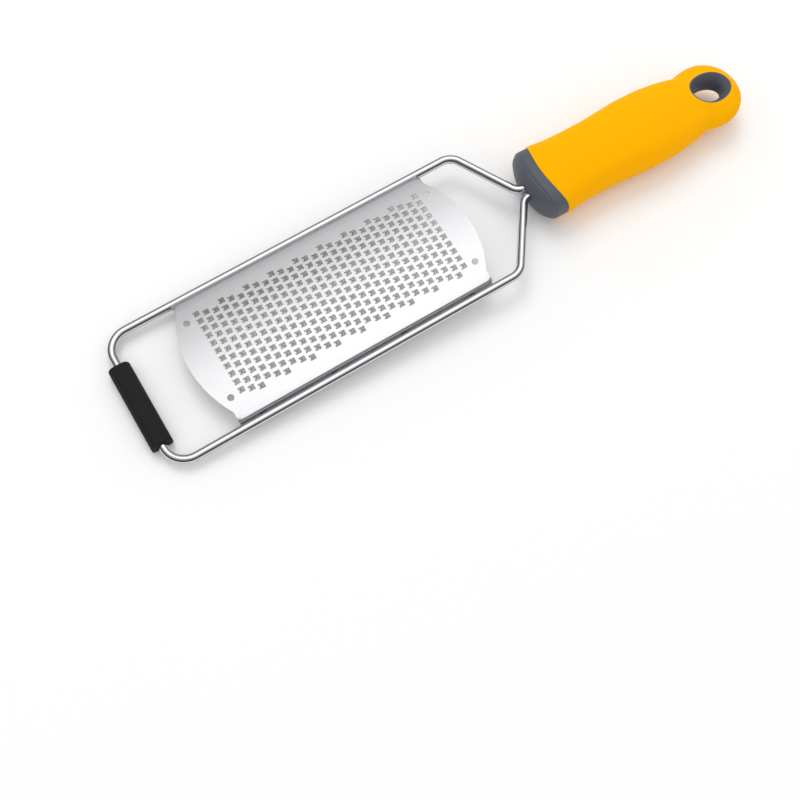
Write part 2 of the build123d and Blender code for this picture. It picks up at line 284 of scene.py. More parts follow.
def farthest(inside, limit):
    """The farthest distance, up to a limit, that is still inside, found by halving."""
    low, high = 0, limit
    for _ in range(HALVINGS):
        middle = (low + high) / 2
        if inside(middle):
            low = middle
        else:
            high = middle
    return low


def skin(bm, rings, close_ends=False, loop=False):
    """Joins closed rings of points, all of one count, into a surface."""
    rows = [[bm.verts.new(point) for point in ring] for ring in rings]
    pairs = list(zip(rows, rows[1:]))
    if loop:
        pairs.append((rows[-1], rows[0]))
    for first, second in pairs:
        for number in range(len(first)):
            after = (number + 1) % len(first)
            bm.faces.new((first[number], first[after], second[after], second[number]))
    if close_ends:
        bm.faces.new(rows[0])
        bm.faces.new(rows[-1])


def finish_piece(bm, name, material, node, place):
    """Puts the mesh in its place, dresses it and hangs it on the frame in its node's stead."""
    bmesh.ops.recalc_face_normals(bm, faces=bm.faces)
    bm.transform(place)
    mesh = bpy.data.meshes.new(name)
    bm.to_mesh(mesh)
    bm.free()
    mesh.shade_smooth()
    mesh.set_sharp_from_angle(angle=SHARP_ANGLE)
    piece = bpy.data.objects.new(name, mesh)
    bpy.context.scene.collection.objects.link(piece)
    mesh.materials.append(material)
    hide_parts(node)
    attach(piece, "root")
    return piece


# Rod frame

ROD_SIDES = 40
BEND_STEP = radians(4)


def rod_line(rod):
    """Points and headings along the rod's axis in its own plane, each bend as an arc."""
    rail_y = rod.rail_spacing / 2
    tang_y = (rod.diameter + rod.tang_gap) / 2
    neck = neck_x()
    half_skew = rod.shoulder_skew / 2
    far_y = tang_y - rod.tang_offset
    near_y = -tang_y - rod.tang_offset
    corners = [
        (neck + rod.tang_length, far_y),
        (neck, far_y),
        (rod.frame_length + half_skew, rail_y),
        (0, rail_y),
        (0, -rail_y),
        (rod.frame_length - half_skew, -rail_y),
        (neck, near_y),
        (neck + rod.tang_length, near_y),
    ]
    corners = [Vector(corner) for corner in corners]
    radii = [rod.neck_radius, rod.shoulder_radius, rod.corner_radius]
    radii += radii[::-1]
    line = [(corners[0], (corners[1] - corners[0]).normalized())]
    for before, corner, after, radius in zip(corners, corners[1:], corners[2:], radii):
        arriving = (corner - before).normalized()
        leaving = (after - corner).normalized()
        turn = atan2(arriving.cross(leaving), arriving.dot(leaving))
        inward = Vector((-arriving.y, arriving.x)) * copysign(1, turn)
        start = corner - arriving * radius * abs(sin(turn) / (1 + cos(turn)))
        centre = start + inward * radius
        steps = ceil(abs(turn) / BEND_STEP)
        for step in range(steps + 1):
            spin = Matrix.Rotation(turn * step / steps, 2)
            line.append((centre - spin @ inward * radius, spin @ arriving))
    line.append((corners[-1], line[-1][1]))
    return line


def polished_rod(steel):
    """Stainless steel rod, cold drawn and electropolished. Drawing leaves faint marks, so its
    reflections are sharp-edged stripes that run the length of the rod and waver very little. The
    marks are drawn coarser than real ones, so that they show."""
    mark_spacing = 0.75 * MM
    return grained_material(
        "electropolished_stainless_rod", steel,
        grain={"Scale": 1 / mark_spacing, "Detail": 3.0},
        relief=(0.05, 0.02 * MM),
        surface={"Metallic": 1.0, "Roughness": (0.06, 0.13)},
    )


class GRATER_OT_rod_frame(bpy.types.Operator):
    """Bend the rod into the front bar, rails, shoulders and tangs"""
    bl_idname = "grater.rod_frame"
    bl_label = "Rod frame"

    def execute(self, context):
        rod = context.scene.grater_rod
        radius = rod.diameter / 2
        rings = []
        for point, heading in rod_line(rod):
            side = Vector((-heading.y, heading.x, 0))
            ring = []
            for angle in full_turn(ROD_SIDES, HALF_STEP):
                offset = side * cos(angle) + Vector((0, 0, sin(angle)))
                ring.append(point.to_3d() + offset * radius)
            rings.append(ring)
        bm = bmesh.new()
        skin(bm, rings, close_ends=True)
        material = polished_rod(rod.steel)
        finish_piece(bm, "bent_rod", material, "wire_frame", rod_plane())
        return {"FINISHED"}


# Blade

# Steps that divide the outline's bulge, ear and ear corner, an opening's corner, a round hole and
# an edge roll, and the spacing of points along the sides
ARC_STEPS = 16
EAR_STEPS = 4
FILLET_STEPS = 5
OPENING_STEPS = 2
ROUND_HOLE_STEPS = 24
ROLL_STEPS = 8
SIDE_STEP = 2.0 * MM
# The triangulation keeps what is inside the outline, and joins points that are nearer than this
INSIDE_ONLY = 1
MERGE_DISTANCE = 0.0001 * MM


class Sheet:
    """The bent sheet, laid out flat: along and across its top surface."""

    def __init__(self, blade):
        self.blade = blade
        outer = blade.crown_radius - blade.roll_radius
        self.slope = asin((blade.flange_y - blade.roll_radius) / outer)
        self.roll_start = blade.crown_radius * self.slope
        self.roll_end = self.roll_start + blade.roll_radius * (pi / 2 - self.slope)
        crown_z = blade.crown_height - blade.crown_radius
        self.roll_y = outer * sin(self.slope)
        self.roll_z = crown_z + outer * cos(self.slope)
        self.edge = self.roll_end + self.roll_z + blade.flange_depth

    def point(self, along, across, out=0.0):
        """A place of the flat sheet in the rods' plane, raised or sunk from its top surface."""
        blade = self.blade
        distance = abs(across)
        if distance <= self.roll_start:
            angle = distance / blade.crown_radius
            radius = blade.crown_radius + out
            y = radius * sin(angle)
            z = blade.crown_height - blade.crown_radius + radius * cos(angle)
        elif distance <= self.roll_end:
            angle = self.slope + (distance - self.roll_start) / blade.roll_radius
            y = self.roll_y + (blade.roll_radius + out) * sin(angle)
            z = self.roll_z + (blade.roll_radius + out) * cos(angle)
        else:
            y = self.roll_y + blade.roll_radius + out
            z = self.roll_z - (distance - self.roll_end)
        return Vector((blade.centre + along, copysign(y, across), z))


def blade_outline(sheet):
    """The flat sheet's outline, anticlockwise: flanged sides, ears and bulged ends."""
    blade = sheet.blade
    ear_x = blade.length / 2
    chord = blade.flange_y - blade.ear
    bulge_radius = (chord**2 + blade.bulge**2) / (2 * blade.bulge)
    centre_x = ear_x + blade.bulge - bulge_radius
    fillet = blade.ear_radius
    fillet_x = ear_x + fillet
    fillet_y = sqrt((bulge_radius + fillet)**2 - (fillet_x - centre_x)**2)
    meeting = atan2(fillet_y, fillet_x - centre_x)
    quarter = [(ear_x, sheet.edge)]
    for step in range(1, EAR_STEPS):
        quarter.append((ear_x, sheet.edge + (fillet_y - sheet.edge) * step / EAR_STEPS))
    for step in range(FILLET_STEPS + 1):
        angle = pi + meeting * step / FILLET_STEPS
        quarter.append((fillet_x + fillet * cos(angle), fillet_y + fillet * sin(angle)))
    for step in range(1, ARC_STEPS):
        angle = meeting * (1 - step / ARC_STEPS)
        quarter.append((centre_x + bulge_radius * cos(angle), bulge_radius * sin(angle)))
    right = [(x, -y) for x, y in quarter] + [(ear_x + blade.bulge, 0)] + quarter[::-1]
    count = ceil(blade.length / SIDE_STEP)
    side = [(ear_x - blade.length * step / count, sheet.edge) for step in range(1, count)]
    half = right + side
    return half + [(-x, -y) for x, y in half]


def hole_places(blade):
    """Middles of the openings: straight columns, staggered in even parts of the pitch."""
    shift = blade.pitch / blade.stagger
    first_x = -(blade.columns - 1) * blade.pitch / 2
    first_y = ((blade.per_column - 1) * blade.pitch + (blade.stagger - 1) * shift) / 2
    for column in range(blade.columns):
        for number in range(blade.per_column):
            y = first_y - number * blade.pitch - (column % blade.stagger) * shift
            yield first_x + column * blade.pitch, y


def opening_outline(blade, x, y):
    """One opening, anticlockwise: a rectangle with small round corners."""
    points = []
    reach_x = blade.hole_length / 2 - blade.hole_radius
    reach_y = blade.hole_width / 2 - blade.hole_radius
    for quarter, (side_x, side_y) in enumerate(((1, 1), (-1, 1), (-1, -1), (1, -1))):
        for step in range(OPENING_STEPS + 1):
            angle = pi / 2 * (quarter + step / OPENING_STEPS)
            points.append((
                x + side_x * reach_x + blade.hole_radius * cos(angle),
                y + side_y * reach_y + blade.hole_radius * sin(angle),
            ))
    return points


def flat_blade(sheet):
    """Points and triangles of the flat sheet, without its openings."""
    blade = sheet.blade
    loops = [blade_outline(sheet)]
    loops += [opening_outline(blade, x, y) for x, y in hole_places(blade)]
    radius = blade.corner_hole / 2
    circle = full_turn(ROUND_HOLE_STEPS)
    for side_x in (-1, 1):
        for side_y in (-1, 1):
            x = side_x * blade.corner_spacing_x / 2
            y = side_y * blade.corner_spacing_y / 2
            loops.append([(x + radius * cos(a), y + radius * sin(a)) for a in circle])
    points = []
    faces = []
    for loop in loops:
        faces.append(list(range(len(points), len(points) + len(loop))))
        points += loop
    roll = sheet.roll_end - sheet.roll_start
    rows = [sheet.roll_start + roll * step / ROLL_STEPS for step in range(ROLL_STEPS + 1)]
    rows.append((sheet.roll_start + blade.pitch * blade.per_column / 2) / 2)
    count = ceil(blade.length / SIDE_STEP)
    for row in rows:
        for side in (-1, 1):
            for step in range(1, count):
                points.append((-blade.length / 2 + blade.length * step / count, side * row))
    corners = [Vector(point) for point in points]
    made = delaunay_2d_cdt(corners, [], faces, INSIDE_ONLY, MERGE_DISTANCE)
    flat, triangles, sources = made[0], made[2], made[5]
    kept = [face for face, source in zip(triangles, sources) if list(source) == [0]]
    return flat, kept


def add_tooth(bm, sheet, x, y):
    """One chisel-tipped tooth that bends up out of its opening's front edge."""
    blade = sheet.blade
    edge = x - blade.hole_length / 2
    # shares of the reach, the rise, the sheet's thickness and the tooth's width
    profile_shares = (
        (-0.35, -0.08, 0.70, 1.00),
        (0.00, 0.02, 0.76, 1.00),
        (0.45, 0.08, 0.56, 0.98),
        (0.76, 0.42, 0.34, 0.93),
        (1.00, 1.00, 0.10, 0.86),
    )
    rings = []
    for along, rise, depth, width in profile_shares:
        top = rise * blade.tooth_rise
        bottom = top - depth * blade.thickness
        half = width * blade.tooth_width / 2
        corners = ((y - half, top), (y + half, top), (y + half, bottom), (y - half, bottom))
        reach = edge + along * blade.tooth_reach
        rings.append([sheet.point(reach, across, out) for across, out in corners])
    skin(bm, rings, close_ends=True)


def satin_sheet(steel):
    """Stainless steel strip with a fine rolled satin finish. Rolling leaves short streaks along the
    sheet, which blur reflections into a soft gradient that follows the crown. The streaks are
    drawn wider than real ones, so that they show."""
    streak_width = 0.4 * MM
    streak_length = 12.0 * MM
    return grained_material(
        "satin_rolled_stainless_sheet", steel,
        grain={"Scale": 1.0, "Detail": 4.0, "Roughness": 0.6},
        relief=(0.08, 0.05 * MM),
        surface={"Metallic": 1.0, "Roughness": (0.3, 0.42)},
        stretch=(1 / streak_length, 1 / streak_width, 1 / streak_width),
    )


class GRATER_OT_blade(bpy.types.Operator):
    """Cut, crown and roll the sheet, and raise its teeth"""
    bl_idname = "grater.blade"
    bl_label = "Blade"

    def execute(self, context):
        blade = context.scene.grater_blade
        sheet = Sheet(blade)
        flat, triangles = flat_blade(sheet)
        if not triangles:
            raise RuntimeError("the flat sheet could not be divided into triangles")
        bm = bmesh.new()
        top, bottom = [
            [bm.verts.new(sheet.point(place.x, place.y, out)) for place in flat]
            for out in (0.0, -blade.thickness)
        ]
        rims = {}
        for triangle in triangles:
            bm.faces.new([top[number] for number in triangle])
            bm.faces.new([bottom[number] for number in reversed(triangle)])
            for first, second in zip(triangle, triangle[1:] + triangle[:1]):
                rims[first, second] = True
        for first, second in rims:
            if (second, first) not in rims:
                bm.faces.new((top[second], top[first], bottom[first], bottom[second]))
        loose = [vert for vert in bm.verts if not vert.link_faces]
        bmesh.ops.delete(bm, geom=loose, context="VERTS")
        for x, y in hole_places(blade):
            add_tooth(bm, sheet, x, y)
        material = satin_sheet(blade.steel)
        finish_piece(bm, "toothed_sheet", material, "grater_blade", rod_plane())
        return {"FINISHED"}


# Welds

WELD_SIDES = 16


def weld_metal(steel):
    """Stainless steel that a spot weld has melted and dulled. It is rougher and browner than the
    sheet, with a fine pebbled skin."""
    pebble = 0.25 * MM
    return grained_material(
        "heat_dulled_weld_steel", steel,
        grain={"Scale": 1 / pebble, "Detail": 2.0},
        relief=(0.4, 0.05 * MM),
        surface={"Metallic": 1.0, "Roughness": 0.5},
        tones=(1.0, 0.6),
    )


class GRATER_OT_welds(bpy.types.Operator):
    """Set the weld nuggets between the blade's flanges and the rails"""
    bl_idname = "grater.welds"
    bl_label = "Welds"

    def execute(self, context):
        weld = context.scene.grater_weld
        blade = context.scene.grater_blade
        rod = context.scene.grater_rod
        rail_face = (rod.rail_spacing - rod.diameter) / 2
        # shares of the gap's width, and of the nugget's size there
        waist_shares = ((0.0, 1.0), (0.25, 0.86), (0.5, 0.8), (0.75, 0.86), (1.0, 1.0))
        bm = bmesh.new()
        for side in (-1, 1):
            for number in range(weld.count):
                x = blade.centre + (number - (weld.count - 1) / 2) * weld.spacing
                rings = []
                for across, size in waist_shares:
                    y = side * (blade.flange_y + (rail_face - blade.flange_y) * across)
                    half_length = size * weld.length / 2
                    half_height = size * weld.height / 2
                    rings.append([
                        (x + half_length * cos(angle), y, half_height * sin(angle))
                        for angle in full_turn(WELD_SIDES)
                    ])
                skin(bm, rings, close_ends=True)
        material = weld_metal(weld.steel)
        finish_piece(bm, "weld_nuggets", material, "blade_welds", rod_plane())
        return {"FINISHED"}


# Foot sleeve

CORNER_STEPS = 8
END_STEPS = 5


def sleeve_ring(sleeve, inset):
    """The sleeve's section drawn in by an inset: broad round shoulders over a flat foot."""
    half = (SLEEVE_HIGH.x - SLEEVE_LOW.x) / 2
    top = SLEEVE_HIGH.z
    points = []
    corners = (
        (1, TABLE_Z, sleeve.foot_radius, -pi / 2),
        (1, top, sleeve.top_radius, 0),
        (-1, top, sleeve.top_radius, pi / 2),
        (-1, TABLE_Z, sleeve.foot_radius, pi),
    )
    for side, level, radius, start in corners:
        x = BAR_X + side * (half - radius)
        z = level + radius if level == TABLE_Z else level - radius
        for step in range(CORNER_STEPS + 1):
            angle = start + pi / 2 * step / CORNER_STEPS
            points.append((x + (radius - inset) * cos(angle), z + (radius - inset) * sin(angle)))
    return points


def black_rubber(rubber):
    """Nitrile rubber tube, extruded and cut to length. It is matt and faintly pocked, and its skin
    scatters a broad grey sheen at grazing angles. The pocks are drawn coarser than real ones."""
    pock = 0.7 * MM
    return grained_material(
        "extruded_nitrile_rubber", rubber,
        grain={"Scale": 1 / pock, "Detail": 5.0, "Roughness": 0.65},
        relief=(0.5, 0.12 * MM),
        surface={"Roughness": 0.8, "IOR": 1.52},
        tones=(0.7, 1.35),
    )


class GRATER_OT_sleeve(bpy.types.Operator):
    """Slide the rubber sleeve onto the front bar"""
    bl_idname = "grater.sleeve"
    bl_label = "Foot sleeve"

    def execute(self, context):
        sleeve = context.scene.grater_sleeve
        rod = context.scene.grater_rod
        bar_z = TABLE_Z + rod.bar_height
        near, far = SLEEVE_LOW.y, SLEEVE_HIGH.y
        outline = [Vector(point) for point in sleeve_ring(sleeve, 0)]
        middle = Vector((BAR_X, bar_z))
        bore = [middle + (point - middle).normalized() * rod.diameter / 2 for point in outline]
        ends = rounding(sleeve.end_radius, END_STEPS)
        levels = [(near + back, inset) for inset, back in ends]
        levels += [(far - back, inset) for inset, back in reversed(ends)]
        rings = [[(p.x, near, p.y) for p in bore]]
        rings += [[(x, y, z) for x, z in sleeve_ring(sleeve, inset)] for y, inset in levels]
        rings.append([(p.x, far, p.y) for p in bore])
        bm = bmesh.new()
        skin(bm, rings, loop=True)
        material = black_rubber(sleeve.rubber)
        finish_piece(bm, "rubber_sleeve", material, "foot_sleeve", Matrix())
        return {"FINISHED"}


# Handle

# How square the sections are: 2 is an oval
SQUARENESS = 2.4
# Points round a section, rounds that settle a point on a bowed line, and steps of a small rounding
AROUND = 120
SETTLE_ROUNDS = 6
EDGE_STEPS = 5
# Where the grip's sections have lost the bow of its front edge, as a share of the seam's distance
FADE_SHARE = 3
# How fast the hang hole flares, and the share of its rim and depth that its lip takes
FLARE_POWER = 2.5
LIP_WIDTH_SHARE = 0.35
LIP_DEPTH_SHARE = 0.03
# How much longer the head is towards the body than across
HEAD_STRETCH = 1.45
# Width of the fillet where the body meets the head, at the sides and over the top
EDGE_BLEND = 0.6 * MM
TOP_BLEND = 6.0 * MM
# Shares of the handle's length, half width and half thickness, from its foremost point
BODY_SHARES = (
    (0.000, 0.985, 0.930),
    (0.057, 0.992, 0.938),
    (0.104, 0.988, 0.945),
    (0.158, 0.945, 0.955),
    (0.237, 0.918, 0.970),
    (0.316, 0.918, 0.985),
    (0.420, 0.957, 1.000),
    (0.514, 0.999, 1.000),
    (0.598, 0.995, 0.965),
    (0.682, 0.942, 0.885),
    (0.770, 0.830, 0.760),
    (0.845, 0.650, 0.640),
    (0.924, 0.300, 0.450),
)


def between(table, column, share):
    """A smooth curve through one column of a table, without overshoot."""
    last = len(table) - 1
    spans = [table[n + 1][0] - table[n][0] for n in range(last)]
    rises = [(table[n + 1][column] - table[n][column]) / spans[n] for n in range(last)]
    share = min(max(share, table[0][0]), table[last][0])
    place = max(n for n in range(last) if table[n][0] <= share)
    tangents = []
    for n in (place, place + 1):
        if n in (0, last):
            tangents.append(rises[min(n, last - 1)])
        elif rises[n - 1] * rises[n] <= 0:
            tangents.append(0)
        else:
            tangents.append(2 * rises[n - 1] * rises[n] / (rises[n - 1] + rises[n]))
    t = (share - table[place][0]) / spans[place]
    start, end = table[place][column], table[place + 1][column]
    return (
        (2 * t**3 - 3 * t**2 + 1) * start
        + (t**3 - 2 * t**2 + t) * spans[place] * tangents[0]
        + (3 * t**2 - 2 * t**3) * end
        + (t**3 - t**2) * spans[place] * tangents[1]
    )


class Form:
    """The handle's outside: a swelling body that runs into a thick round head."""

    def __init__(self, handle):
        self.handle = handle
        self.face_x = neck_x() + handle.face_gap
        self.head_radius = handle.head_diameter / 2
        self.head_half = handle.head_thickness / 2
        self.head_x = self.face_x + handle.length - self.head_radius
        tail_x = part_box("handle_grip")[1].x - BAR_X
        self.tail_share = min(1, (tail_x - self.head_x) / self.head_radius)
        half_width = handle.width / 2
        self.seam_radius = (half_width**2 + handle.seam_bow**2) / (2 * handle.seam_bow)
        self.mouth = Vector((handle.mouth_length, handle.mouth_width)) / 2
        self.lining_size = self.mouth + Vector((handle.lining_edge,) * 2)

    def body_reach(self, x, angle):
        """Distance from the axis to the body's surface."""
        share = (x - self.face_x) / self.handle.length
        if share > BODY_SHARES[-1][0]:
            return 0
        half_width = between(BODY_SHARES, 1, share) * self.handle.width / 2
        half_thickness = between(BODY_SHARES, 2, share) * self.handle.thickness / 2
        across = (abs(cos(angle)) / half_width) ** SQUARENESS
        up = (abs(sin(angle)) / half_thickness) ** SQUARENESS
        return (across + up) ** (-1 / SQUARENESS)

    def head_off(self, x):
        """Distance along from the head's middle, as it would be if the head were truly round. It is
        drawn out towards the body and a little flattened at the tail."""
        off = x - self.head_x
        return off / (self.tail_share if off > 0 else HEAD_STRETCH)

    def head_reach(self, x, angle):
        """Distance from the axis to the head's surface."""
        off = self.head_off(x)
        if abs(off) >= self.head_radius:
            return 0

        def inside(reach):
            out = sqrt(off**2 + (reach * cos(angle)) ** 2) / self.head_radius
            up = abs(reach * sin(angle)) / self.head_half
            return out**SQUARENESS + up**SQUARENESS < 1

        return farthest(inside, self.head_radius)

    def reach(self, x, angle):
        """Distance from the axis to the outside, with the body and the head run together."""
        body = self.body_reach(x, angle)
        head = self.head_reach(x, angle)
        if not body or not head:
            return body + head
        blend = EDGE_BLEND + (TOP_BLEND - EDGE_BLEND) * sin(angle) ** 2
        gap = max(0, 1 - abs(body - head) / blend)
        return max(body, head) + gap**2 * blend / 4

    def angles(self):
        """Directions round the section, closer together where it is flatter."""
        ratio = self.handle.thickness / self.handle.width
        turns = full_turn(AROUND, HALF_STEP)
        return [atan2(ratio * sin(turn), cos(turn)) for turn in turns]

    def point(self, x, angle, inset=0.0):
        """A point of the surface, or below it by an inset."""
        reach = self.reach(x, angle) - inset
        return Vector((x, reach * cos(angle), reach * sin(angle)))

    def height(self, x, y):
        """Half thickness of the handle at a place in plan."""
        return farthest(
            lambda z: sqrt(y**2 + z**2) < self.reach(x, atan2(z, y)), self.handle.thickness
        )

    def seam(self, y):
        """Place along the handle of the grip's bowed front edge."""
        return self.face_x + self.handle.seam + sagitta(y, self.seam_radius)

    def face(self, y, z):
        """Place along the handle of the domed front face."""
        plan = sagitta(y, self.handle.face_plan_radius)
        return self.face_x + plan + sagitta(z, self.handle.face_side_radius)

    def settle(self, angle, inset, place):
        """A point of the inset surface whose place along the handle depends on where it lies
        across."""
        point = self.point(self.face_x + self.handle.seam, angle, inset)
        for _ in range(SETTLE_ROUNDS):
            point = self.point(place(point), angle, inset)
        return point


def sagitta(offset, radius):
    """How far an arc falls back at an offset from its middle."""
    return radius - sqrt(max(radius**2 - offset**2, 0))


def moulded_core(core):
    """Polypropylene, injection moulded in a spark-eroded tool. It has a fine even grain and a soft,
    low sheen. The grain is drawn coarser than the real one."""
    grain_width = 0.35 * MM
    return grained_material(
        "moulded_polypropylene", core,
        grain={"Scale": 1 / grain_width, "Detail": 3.0},
        relief=(0.15, 0.03 * MM),
        surface={"Roughness": (0.42, 0.56), "IOR": 1.49, "Specular IOR Level": 0.3},
        tones=(0.94, 1.06),
    )


def soft_grip(grip):
    """Thermoplastic elastomer, overmoulded and left soft to the touch. It is matt, its colour stays
    even and strong, and only a faint broad highlight shows the form. The grain is drawn coarser
    than the real one."""
    grain_width = 0.5 * MM
    mottle_width = 14.0 * MM
    return grained_material(
        "soft_touch_elastomer", grip,
        grain={"Scale": 1 / grain_width, "Detail": 3.0},
        relief=(0.12, 0.03 * MM),
        surface={"Roughness": 0.7, "IOR": 1.45, "Specular IOR Level": 0.05},
        tones=(1.0, 0.97),
        mottle={"Scale": 1 / mottle_width, "Detail": 2.0},
    )


class GRATER_OT_core(bpy.types.Operator):
    """Mould the bolster and the hang hole's lining"""
    bl_idname = "grater.core"
    bl_label = "Handle core"

    def execute(self, context):
        handle = context.scene.grater_handle
        form = Form(handle)
        material = moulded_core(handle.core)
        self.bolster(form, material)
        self.lining(form, material)
        return {"FINISHED"}

    def bolster(self, form, material):
        """The bare front end: a domed face, a rounded rim and a short side under the grip."""
        handle = form.handle
        angles = form.angles()
        rim = [
            form.settle(angle, handle.grip_step, lambda p: form.face(p.y, p.z)) for angle in angles
        ]
        edge = handle.face_edge
        rings = []
        face_steps = 14
        for step in range(1, face_steps + 1):
            ring = []
            for point in rim:
                out = Vector((0, point.y, point.z))
                out *= (1 - edge / out.length) * step / face_steps
                ring.append((form.face(out.y, out.z), out.y, out.z))
            rings.append(ring)
        for inset, back in rounding(edge, EDGE_STEPS)[1:]:
            rings.append([
                form.point(point.x + back, angle, handle.grip_step + inset)
                for point, angle in zip(rim, angles)
            ])
        hidden = 2 * handle.grip_step
        side_steps = 6
        for step in range(1, side_steps + 1):
            ring = []
            for point, angle in zip(rim, angles):
                start = point.x + edge
                end = form.seam(point.y) + hidden
                x = start + (end - start) * step / side_steps
                ring.append(form.point(x, angle, handle.grip_step))
            rings.append(ring)
        bm = bmesh.new()
        skin(bm, rings, close_ends=True)
        finish_piece(bm, "bolster", material, "handle_core", handle_axis())

    def lining(self, form, material):
        """The oval ring of core plastic round the hang hole, flared to both faces of the head."""
        handle = form.handle
        steps = 12
        outer, mouth = form.lining_size, form.mouth
        throat = Vector((handle.throat_length, handle.throat_width)) / 2
        turns = full_turn(AROUND)
        rims = [form.height(form.head_x + outer.x * cos(t), outer.y * sin(t)) for t in turns]
        half = [(outer, 0.0), (mouth + (outer - mouth) * LIP_WIDTH_SHARE, 0.0)]
        for step in range(steps + 1):
            depth = step / steps
            size = throat + (mouth - throat) * (1 - depth) ** FLARE_POWER
            half.append((size, LIP_DEPTH_SHARE + (1 - LIP_DEPTH_SHARE) * depth))
        rings = []
        for side, levels in ((1, half), (-1, half[-2::-1])):
            for size, depth in levels:
                ring = []
                for turn, rim in zip(turns, rims):
                    x = form.head_x + size.x * cos(turn)
                    y = size.y * sin(turn)
                    ring.append((x, y, side * rim * (1 - depth)))
                rings.append(ring)
        bm = bmesh.new()
        skin(bm, rings, loop=True)
        finish_piece(bm, "hang_lining", material, "handle_core", handle_axis())


class GRATER_OT_grip(bpy.types.Operator):
    """Mould the soft grip over the core"""
    bl_idname = "grater.grip"
    bl_label = "Soft grip"

    def execute(self, context):
        handle = context.scene.grater_handle
        form = Form(handle)
        angles = form.angles()
        edge = handle.grip_edge
        fade_end = form.face_x + FADE_SHARE * handle.seam
        hidden = 2.5 * handle.grip_step
        rings = []
        for inset, back in [(hidden, 0)] + rounding(edge, EDGE_STEPS):
            rings.append([
                form.settle(angle, inset, lambda p: form.seam(p.y) + back) for angle in angles
            ])
        fade_steps = 12
        for step in range(1, fade_steps + 1):
            share = step / fade_steps
            rings.append([
                form.settle(
                    angle, 0, lambda p: (form.seam(p.y) + edge) * (1 - share) + fade_end * share
                )
                for angle in angles
            ])
        station = 0.8 * MM
        steps = ceil((form.head_x - fade_end) / station)
        for step in range(1, steps + 1):
            x = fade_end + (form.head_x - fade_end) * step / steps
            rings.append([form.point(x, angle) for angle in angles])
        tail_steps = 40
        for step in range(1, tail_steps):
            tail = form.head_radius * form.tail_share
            x = form.head_x + tail * sin(pi / 2 * step / tail_steps)
            rings.append([form.point(x, angle) for angle in angles])
        bm = bmesh.new()
        skin(bm, rings, close_ends=True)
        self.cut_hang_hole(bm, form)
        material = soft_grip(handle.grip)
        finish_piece(bm, "soft_grip", material, "handle_grip", handle_axis())
        return {"FINISHED"}

    def cut_hang_hole(self, bm, form):
        """Cuts the lining's oval through the head."""
        size = form.lining_size
        tool = bmesh.new()
        rings = []
        for z in (-form.handle.thickness, form.handle.thickness):
            rings.append([
                (form.head_x + size.x * cos(turn), size.y * sin(turn), z)
                for turn in full_turn(AROUND)
            ])
        skin(tool, rings, close_ends=True)
        solids = []
        for name, shape in (("uncut_grip", bm), ("hang_hole_tool", tool)):
            bmesh.ops.recalc_face_normals(shape, faces=shape.faces)
            mesh = bpy.data.meshes.new(name)
            shape.to_mesh(mesh)
            solid = bpy.data.objects.new(name, mesh)
            bpy.context.scene.collection.objects.link(solid)
            solids.append(solid)
        tool.free()
        cut = solids[0].modifiers.new("hang_hole", "BOOLEAN")
        cut.operation = "DIFFERENCE"
        cut.solver = "EXACT"
        cut.object = solids[1]
        graph = bpy.context.evaluated_depsgraph_get()
        result = bpy.data.meshes.new_from_object(solids[0].evaluated_get(graph))
        bm.clear()
        bm.from_mesh(result)
        bpy.data.meshes.remove(result)
        for solid in solids:
            mesh = solid.data
            bpy.data.objects.remove(solid)
            bpy.data.meshes.remove(mesh)


# Stage

# The paper's half width and how far it lies below the tool
PAPER_HALF = 6.0
PAPER_GAP = 0.05 * MM
# The softbox that is set back from the tool: its place, the length of a side and its power
SOFTBOX_PLACE = Vector((0.3, 1.4, 2.0))
SOFTBOX_SIZE = 1.4
SOFTBOX_POWER = 17.0
# What the camera shows, from nearest to farthest
NEAREST, FARTHEST = 0.01, 50
# Towards the soft overhead panel, its strength, and the share of that strength that polished and
# satin steel reflect at each nearness to that heading
PANEL_HEADING = Vector((0.16, 0.16, 0.97))
PANEL_STRENGTH = 2.25
STUDIO_SHARES = (
    (-1.0, 0.4),
    (0.0, 0.02),
    (0.3, 0.015),
    (0.45, 0.1),
    (0.66, 0.2),
    (0.84, 0.34),
    (0.93, 0.64),
    (0.975, 1.0),
    (1.0, 1.0),
)
# The even light that reaches every matt surface
DOME_STRENGTH = 0.86


def paper_floor(paper):
    """Matt white background paper, which takes a soft shadow."""
    material, tree = new_material("matt_background_paper")
    fibre = 3.0 * MM
    place = add_node(tree, "ShaderNodeTexCoord")
    fibres = add_node(
        tree, "ShaderNodeTexNoise",
        {"Vector": place.outputs["Object"], "Scale": 1 / fibre, "Detail": 2.0},
    )
    tint = add_node(
        tree, "ShaderNodeMixRGB",
        {
            "Fac": fibres.outputs["Fac"],
            "Color1": (*paper, 1),
            "Color2": (*[0.99 * part for part in paper], 1),
        },
    )
    matt = add_node(tree, "ShaderNodeBsdfDiffuse", {"Color": tint.outputs["Color"]})
    add_node(tree, "ShaderNodeOutputMaterial", {"Surface": matt.outputs["BSDF"]})
    return material


